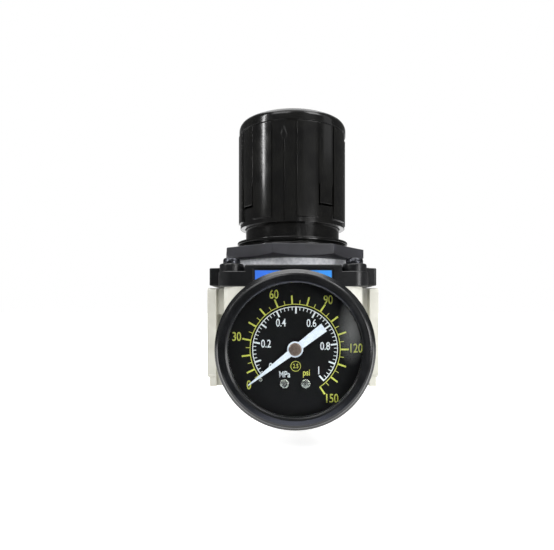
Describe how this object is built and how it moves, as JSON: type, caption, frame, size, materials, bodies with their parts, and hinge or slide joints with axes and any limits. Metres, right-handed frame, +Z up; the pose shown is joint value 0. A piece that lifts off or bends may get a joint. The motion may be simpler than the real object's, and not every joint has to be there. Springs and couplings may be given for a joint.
{
  "type": "air pressure regulator with gauge",
  "caption": "Compressed-air pressure regulator with a push-to-lock adjusting knob, a panel nut and a round dual-scale pressure gauge on the front of its cast body.",
  "frame": {"origin": "centre of the flat underside of the bottom plug", "axes": "+Z up along the knob's axis, -Y towards the gauge's face, X along the ports, outlet at +X"},
  "size_m": [0.06, 0.0898, 0.1073],
  "materials": {
    "cast_body": "die-cast aluminium with a fine pearl grey paint",
    "black_gloss": "glossy moulded black plastic",
    "black_frame": "semi-matt moulded black plastic",
    "nut_grey": "satin moulded dark grey plastic",
    "ring_metal": "blasted bright aluminium",
    "label_blue": "plain blue printed film",
    "screw_black": "black oxide steel",
    "steel": "bright steel",
    "brass": "turned brass",
    "rubber_black": "moulded nitrile rubber",
    "gauge_enamel": "black stoved enamel on steel",
    "dial_black": "black painted aluminium sheet",
    "pointer_white": "white painted aluminium sheet",
    "clear_glass": "clear polished sheet",
    "bronze": "phosphor bronze"
  },
  "bodies": {
    "housing": {"body": "cast_body", "cover_frame": "black_frame", "label_plate": "label_blue", "bonnet": "black_gloss", "clamp_ring": "ring_metal", "panel_nut": "nut_grey", "thrust_washer": "steel", "main_spring": "steel", "diaphragm": "rubber_black", "valve_spring": "steel", "bottom_plug": "black_frame", "bottom_plug_o_ring": "rubber_black", "cover_screw_1": "screw_black", "cover_screw_2": "screw_black", "cover_screw_3": "screw_black", "cover_screw_4": "screw_black", "rear_port_plug": "steel", "gauge_socket": "brass", "gauge_case": "gauge_enamel", "gauge_bezel": "gauge_enamel", "gauge_glass": "clear_glass", "glass_gasket": "rubber_black", "gauge_dial": "dial_black", "dial_screw_left": "steel", "dial_screw_right": "steel", "stop_pin": "brass", "bourdon_tube": "bronze", "tube_tip": "brass", "rear_plate": "brass", "front_plate": "brass", "plate_pillar_1": "brass", "plate_pillar_2": "brass", "hairspring": "bronze"},
    "screw": {"adjusting_screw": "steel"},
    "knob": {"knob": "black_gloss"},
    "nut": {"spring_nut": "brass"},
    "diaphragm_group": {"spring_seat": "steel", "relief_rivet": "brass"},
    "valve": {"valve_poppet": "brass", "valve_seal": "rubber_black", "poppet_o_ring": "rubber_black"},
    "pointer_group": {"pointer": "pointer_white", "pointer_cap": "brass", "pinion_shaft": "steel"},
    "sector": {"sector_gear": "brass", "sector_arbor": "steel"},
    "link": {"sector_link": "brass"}
  },
  "joints": [
    {"name": "knob_turn", "type": "hinge", "parent": "housing", "child": "screw", "pos_m": [0, 0, 0.084], "axis": [0, 0, 1], "range_deg": [-1800, 0]},
    {"name": "knob_lock", "type": "slide", "parent": "screw", "child": "knob", "axis": [0, 0, 1], "range_m": [-0.004, 0]},
    {"name": "spring_nut_slide", "type": "slide", "parent": "housing", "child": "nut", "axis": [0, 0, 1], "range_m": [-0.00751, 0], "deforming": ["main_spring"]},
    {"name": "diaphragm_lift", "type": "slide", "parent": "housing", "child": "diaphragm_group", "axis": [0, 0, 1], "range_m": [-0.0012, 0], "stiffness_N_per_m": 2500, "deforming": ["diaphragm"]},
    {"name": "valve_slide", "type": "slide", "parent": "housing", "child": "valve", "axis": [0, 0, 1], "range_m": [-0.00121, 0], "deforming": ["valve_spring"]},
    {"name": "pointer_turn", "type": "hinge", "parent": "housing", "child": "pointer_group", "pos_m": [0, -0.059, 0.0266], "axis": [0, 1, 0], "range_deg": [0, 262], "deforming": ["hairspring", "bourdon_tube", "tube_tip"]},
    {"name": "sector_turn", "type": "hinge", "parent": "housing", "child": "sector", "pos_m": [0.00444, -0.0514, 0.02026], "axis": [0, 1, 0], "range_deg": [-43.8, 0]},
    {"name": "link_turn", "type": "hinge", "parent": "sector", "child": "link", "pos_m": [0.00314, -0.0497, 0.01701], "axis": [0, 1, 0], "range_deg": [0, 43.8]}
  ],
  "couplings": [
    {"joint": "spring_nut_slide", "follows": "knob_turn", "m_per_rad": 0.00023873},
    {"joint": "valve_slide", "follows": "diaphragm_lift", "ratio": 1},
    {"joint": "sector_turn", "follows": "pointer_turn", "ratio": -0.16667},
    {"joint": "link_turn", "follows": "pointer_turn", "ratio": 0.16667}
  ]
}
